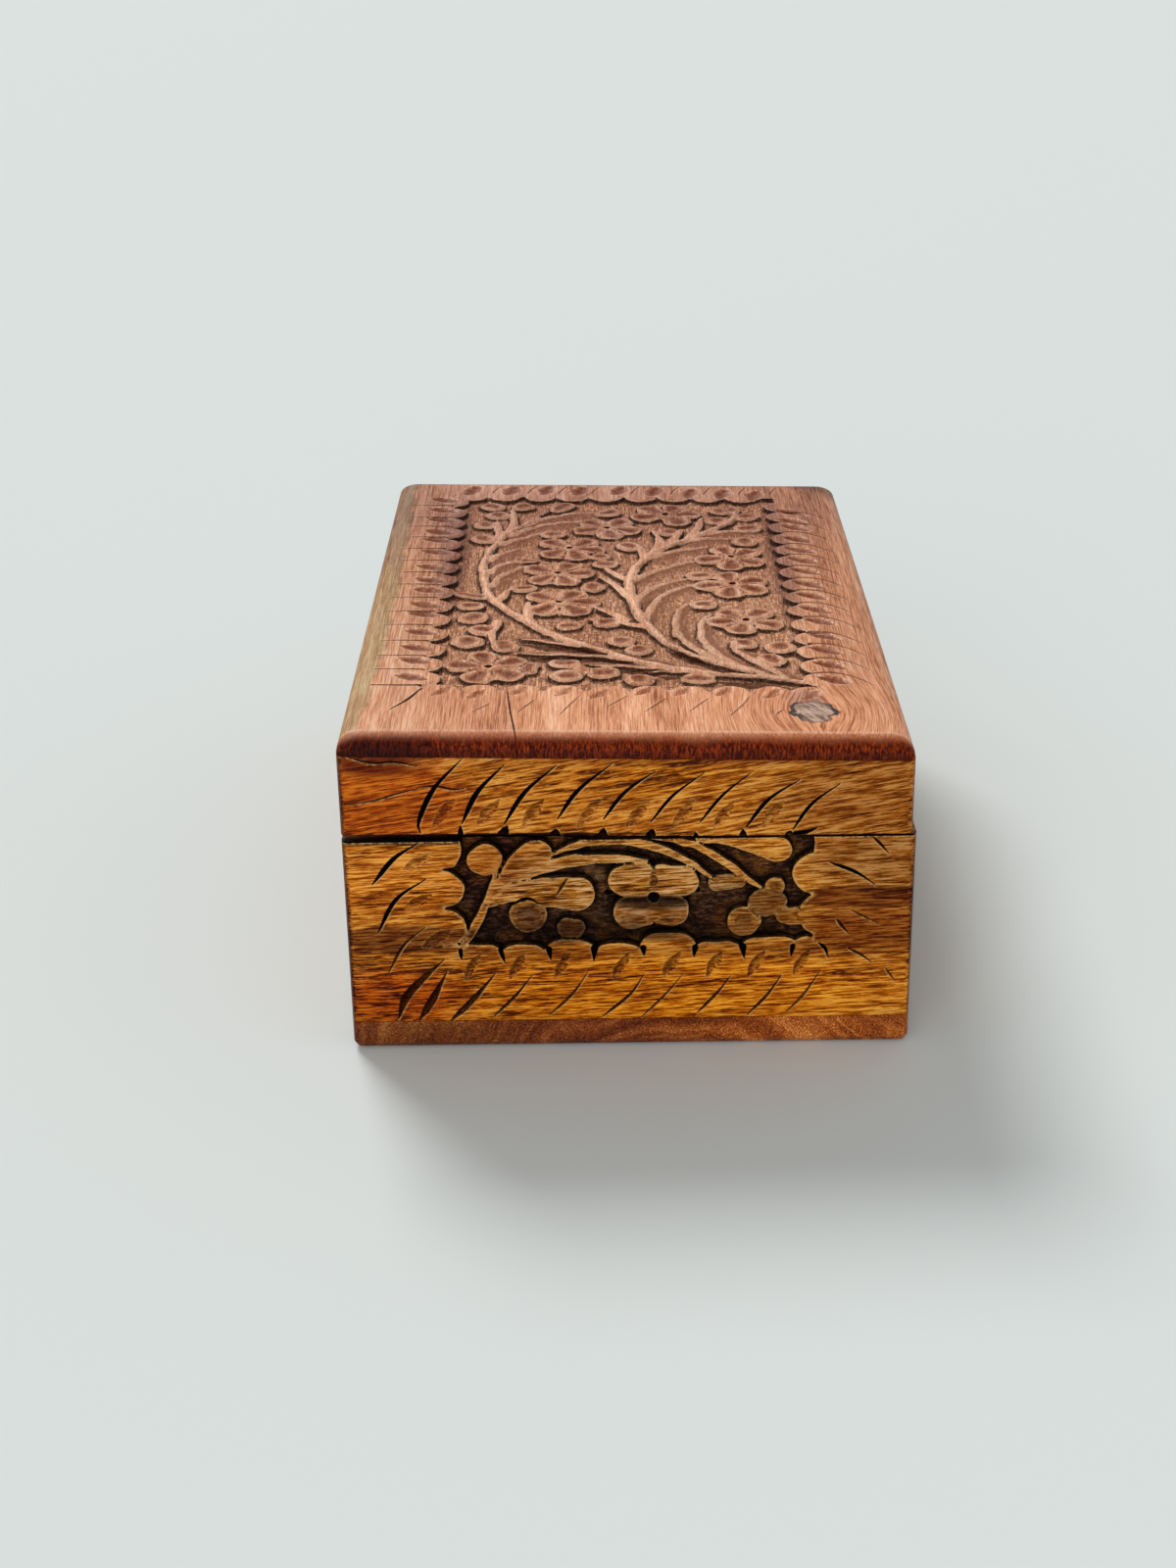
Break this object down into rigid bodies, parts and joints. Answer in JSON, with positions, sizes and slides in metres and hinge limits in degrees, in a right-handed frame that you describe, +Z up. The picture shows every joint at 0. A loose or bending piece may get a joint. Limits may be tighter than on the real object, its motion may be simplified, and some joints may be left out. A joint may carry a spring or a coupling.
{
  "type": "carved trinket box",
  "caption": "Small oblong wooden trinket box with a hinged lid, relief-carved with a leaf border and a sunk panel of vines and flowers.",
  "frame": {"origin": "middle of the underside, at the level the box stands on", "axes": "+X along the box to the end that the picture shows, -Y towards the opening side, +Y towards the hinges, +Z up"},
  "size_m": [0.152, 0.1019, 0.061],
  "materials": {
    "top_wood": "pinkish tan hardwood, carved, thin worn finish",
    "wall_wood": "ochre to red-brown hardwood, carved, satin varnish",
    "bottom_wood": "reddish brown hardwood, planed",
    "hinge_brass": "aged brass sheet",
    "pin_steel": "dull steel wire"
  },
  "bodies": {
    "base": {"bottom_board": "bottom_wood", "base_front_wall": "wall_wood", "base_back_wall": "wall_wood", "base_left_wall": "wall_wood", "base_right_wall": "wall_wood", "hinge_left_base_leaf": "hinge_brass", "hinge_left_pin": "pin_steel", "hinge_left_base_screw_1": "hinge_brass", "hinge_left_base_screw_2": "hinge_brass", "hinge_right_base_leaf": "hinge_brass", "hinge_right_pin": "pin_steel", "hinge_right_base_screw_1": "hinge_brass", "hinge_right_base_screw_2": "hinge_brass"},
    "lid": {"top_board": "top_wood", "lid_front_wall": "wall_wood", "lid_back_wall": "wall_wood", "lid_left_wall": "wall_wood", "lid_right_wall": "wall_wood", "hinge_left_lid_leaf": "hinge_brass", "hinge_left_lid_screw_1": "hinge_brass", "hinge_left_lid_screw_2": "hinge_brass", "hinge_right_lid_leaf": "hinge_brass", "hinge_right_lid_screw_1": "hinge_brass", "hinge_right_lid_screw_2": "hinge_brass"}
  },
  "joints": [
    {"name": "lid_hinge", "type": "hinge", "parent": "base", "child": "lid", "pos_m": [0, 0.05035, 0.0416], "axis": [-1, 0, 0], "range_deg": [0, 180]}
  ]
}
